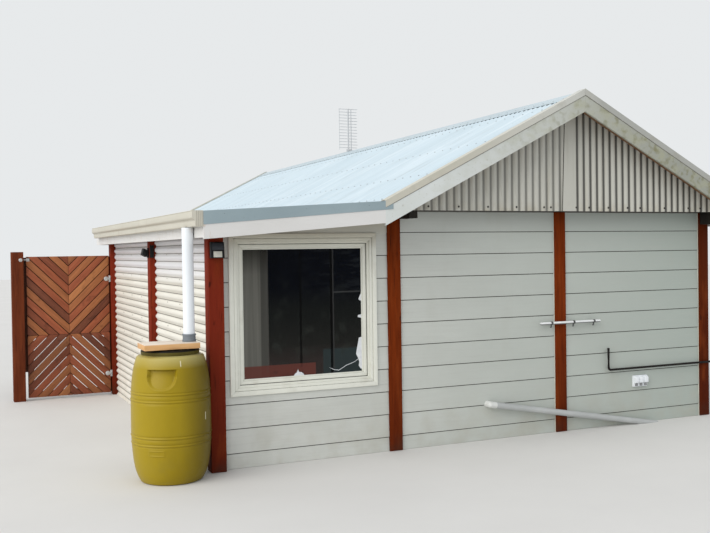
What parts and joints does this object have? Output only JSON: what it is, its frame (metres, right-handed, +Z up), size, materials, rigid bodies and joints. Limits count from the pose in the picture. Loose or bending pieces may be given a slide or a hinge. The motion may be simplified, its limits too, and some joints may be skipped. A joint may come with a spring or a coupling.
{
  "type": "weatherboard bungalow with a lean-to",
  "caption": "Small gabled bungalow with painted boards and stained posts, a lean-to with a large window, a rain barrel at its corner and a slatted gate that swings.",
  "frame": {"origin": "underside of the floor slab at ground level, under the ridge, half way along the gabled wing", "axes": "+X to the right along the front wall, +Y from the front wall into the building, +Z up"},
  "size_m": [6.7715, 9.058, 3.813],
  "materials": {
    "stained_hardwood": "satin red-brown stain over sawn hardwood",
    "boards": "satin warm grey paint on boards",
    "wall_sheet": "satin off-white corrugated sheet",
    "gable_sheet": "satin beige-grey corrugated sheet",
    "roof_sheet": "weathered pale blue-white corrugated sheet",
    "blue_flashing": "satin blue-grey flashing",
    "cream_flashing": "satin cream flashing",
    "cream_paint": "cream paint with faint mould stains",
    "cream_gutter": "satin cream gutter",
    "concrete": "trowelled concrete",
    "window_paint": "satin cream paint",
    "window_glass": "dark clear glass",
    "door_paint": "satin warm grey paint",
    "white_pipe": "white drain pipe",
    "grey_collar": "grey sleeve",
    "barrel_plastic": "olive yellow moulded plastic",
    "black_plastic": "black moulded plastic",
    "pine_board": "bare pine",
    "gate_timber": "oiled hardwood battens of mixed tones",
    "galvanised": "dull galvanised steel",
    "dark_conduit": "dark conduit",
    "white_box": "weatherproof plastic",
    "grey_pipe": "grey waste pipe",
    "black_lamp": "black lamp housing",
    "aerial_metal": "weathered aluminium"
  },
  "bodies": {
    "house": {"posts_front": "stained_hardwood", "posts_left": "stained_hardwood", "posts_right": "stained_hardwood", "posts_rear": "stained_hardwood", "soffit_front": "stained_hardwood", "bearer_ends": "dark_conduit", "gate_post": "stained_hardwood", "wall_front_window": "boards", "wall_front_gable": "boards", "wall_rear": "boards", "wall_right": "boards", "wall_yard": "boards", "wall_leanto_rear": "boards", "wall_left": "boards", "sheets_left": "wall_sheet", "gable_front": "gable_sheet", "gable_rear": "gable_sheet", "roof_main_left": "roof_sheet", "roof_main_right": "roof_sheet", "roof_leanto": "roof_sheet", "ridge_cap": "roof_sheet", "flashing_leanto": "blue_flashing", "barge_flashings": "cream_flashing", "barge_boards": "cream_paint", "fascia_leanto_front": "cream_paint", "fascias_leanto": "cream_paint", "fascias_main": "cream_paint", "gutter_leanto": "cream_gutter", "gutters_main": "cream_gutter", "floor_main": "concrete", "floor_leanto": "concrete", "window_frame": "window_paint", "window_sash": "window_paint", "window_glass": "window_glass", "door_frame": "window_paint", "door_leaf": "door_paint", "downpipe": "white_pipe", "downpipe_collar": "grey_collar", "rain_barrel": "barrel_plastic", "barrel_bottom": "barrel_plastic", "barrel_lid": "black_plastic", "lid_board": "pine_board", "gate_pins": "galvanised", "wall_rail": "galvanised", "conduit": "dark_conduit", "socket_box": "white_box", "waste_pipe": "grey_pipe", "lamps": "black_lamp", "aerial": "aerial_metal"},
    "gate": {"gate_frame": "gate_timber", "gate_battens_upper": "gate_timber", "gate_battens_lower": "gate_timber", "gate_hinges": "galvanised", "gate_latch": "galvanised"}
  },
  "joints": [
    {"name": "gate_swing", "type": "hinge", "parent": "house", "child": "gate", "pos_m": [-3.4595, 0.471, 0.9], "axis": [0, 0, 1], "range_deg": [0, 90]}
  ]
}
